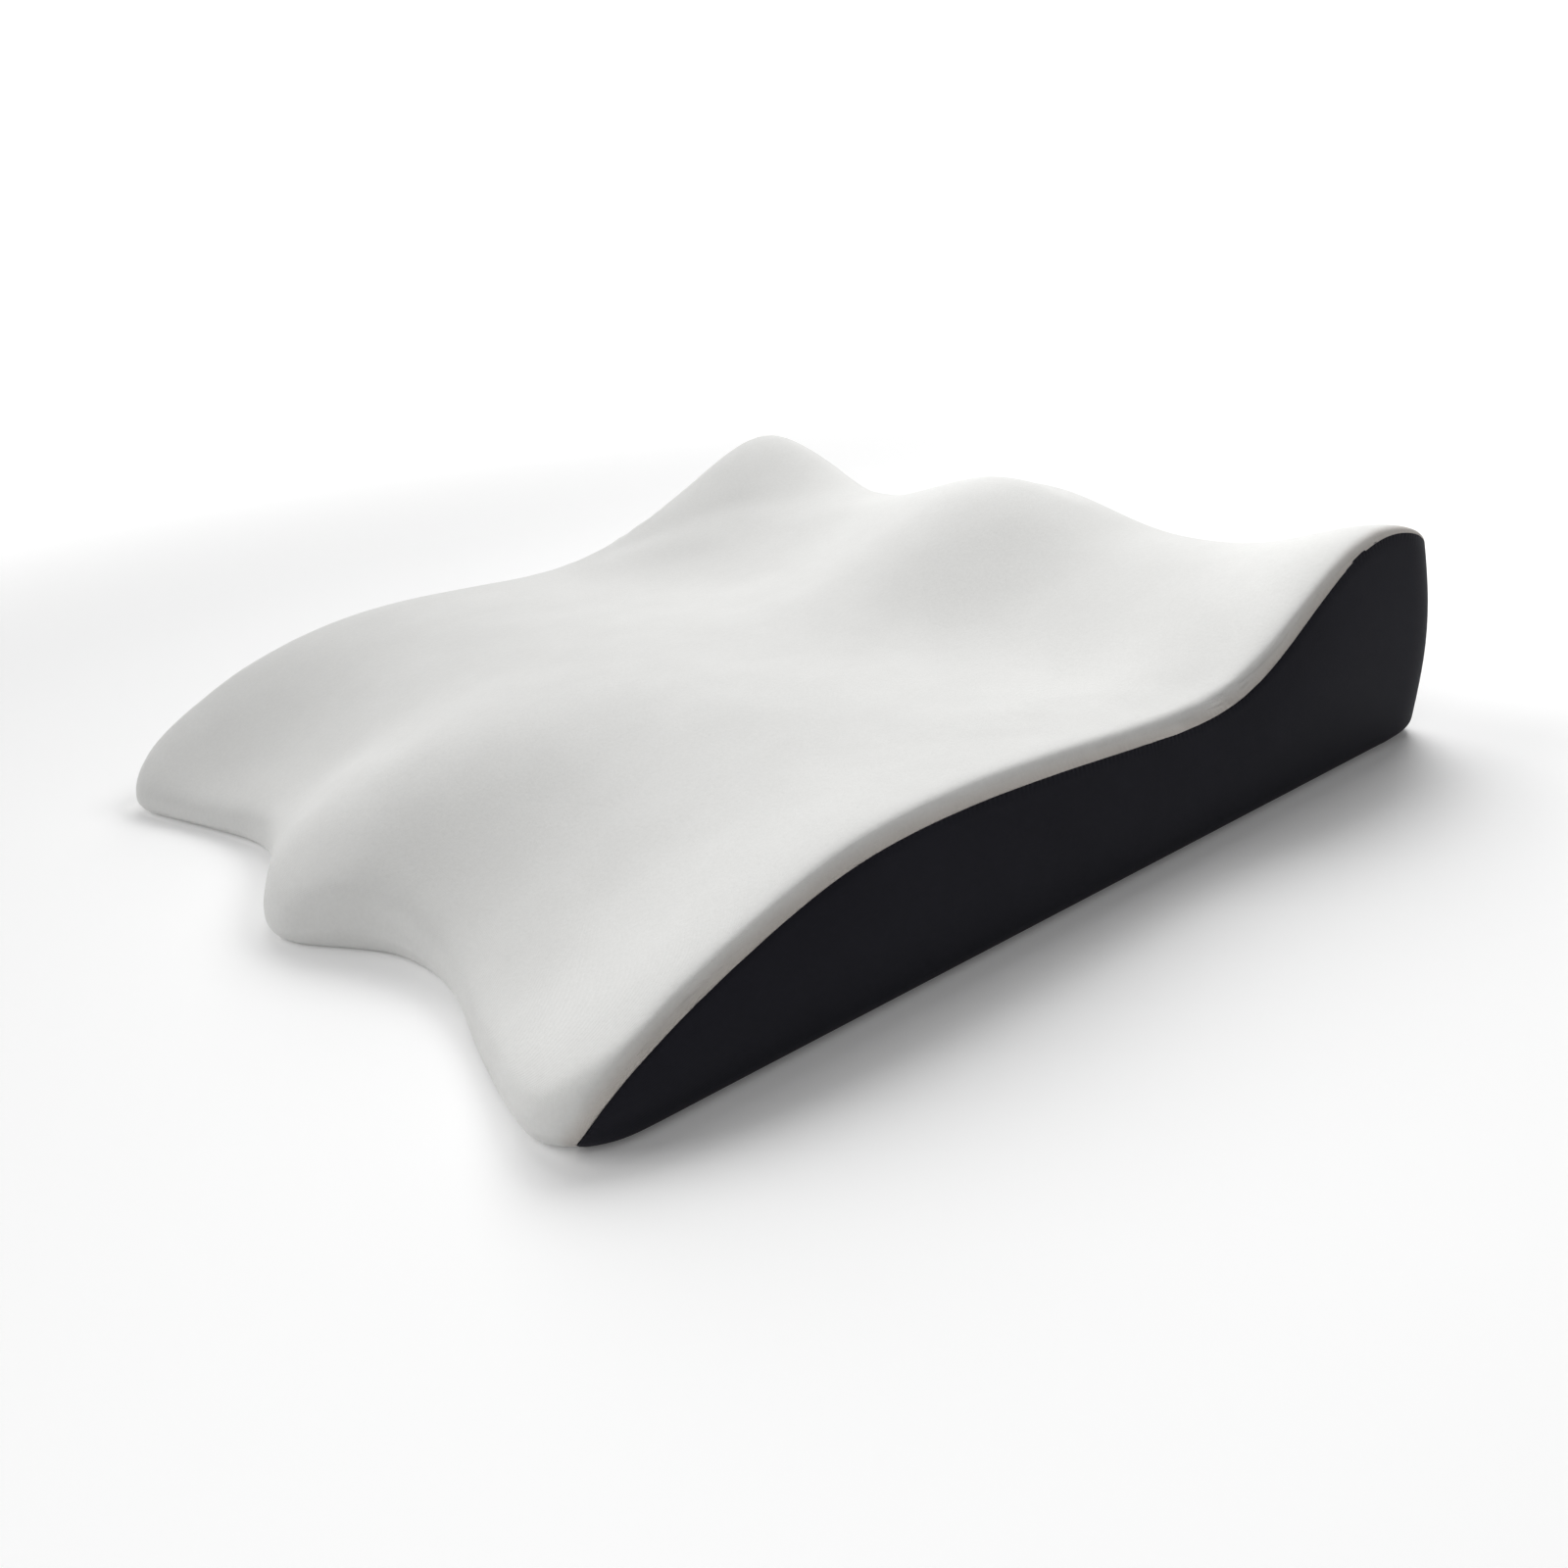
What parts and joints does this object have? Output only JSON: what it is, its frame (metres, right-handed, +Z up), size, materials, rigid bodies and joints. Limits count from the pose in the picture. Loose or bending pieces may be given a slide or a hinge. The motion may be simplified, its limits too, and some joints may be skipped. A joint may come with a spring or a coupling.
{
  "type": "leg elevation pillow",
  "caption": "Contoured leg elevation pillow: a wide foam ramp with thigh notches in front, a centre ridge and leg channels in its raised back, light top, dark sides.",
  "frame": {"origin": "under the middle of the whole box, on the surface that the pillow rests on", "axes": "+Z up, +X from the notched front edge to the raised back, +Y to the left side"},
  "size_m": [0.6046, 0.5836, 0.1425],
  "materials": {
    "light_knit": "smooth fine light grey-white knit, matt",
    "dark_cloth": "near-black smooth cloth with a faint blue tint, matt",
    "dark_base": "near-black plain cloth, matt"
  },
  "bodies": {
    "root": {"filled_top": "light_knit", "side_band": "dark_cloth", "base_panel": "dark_base"}
  },
  "joints": []
}
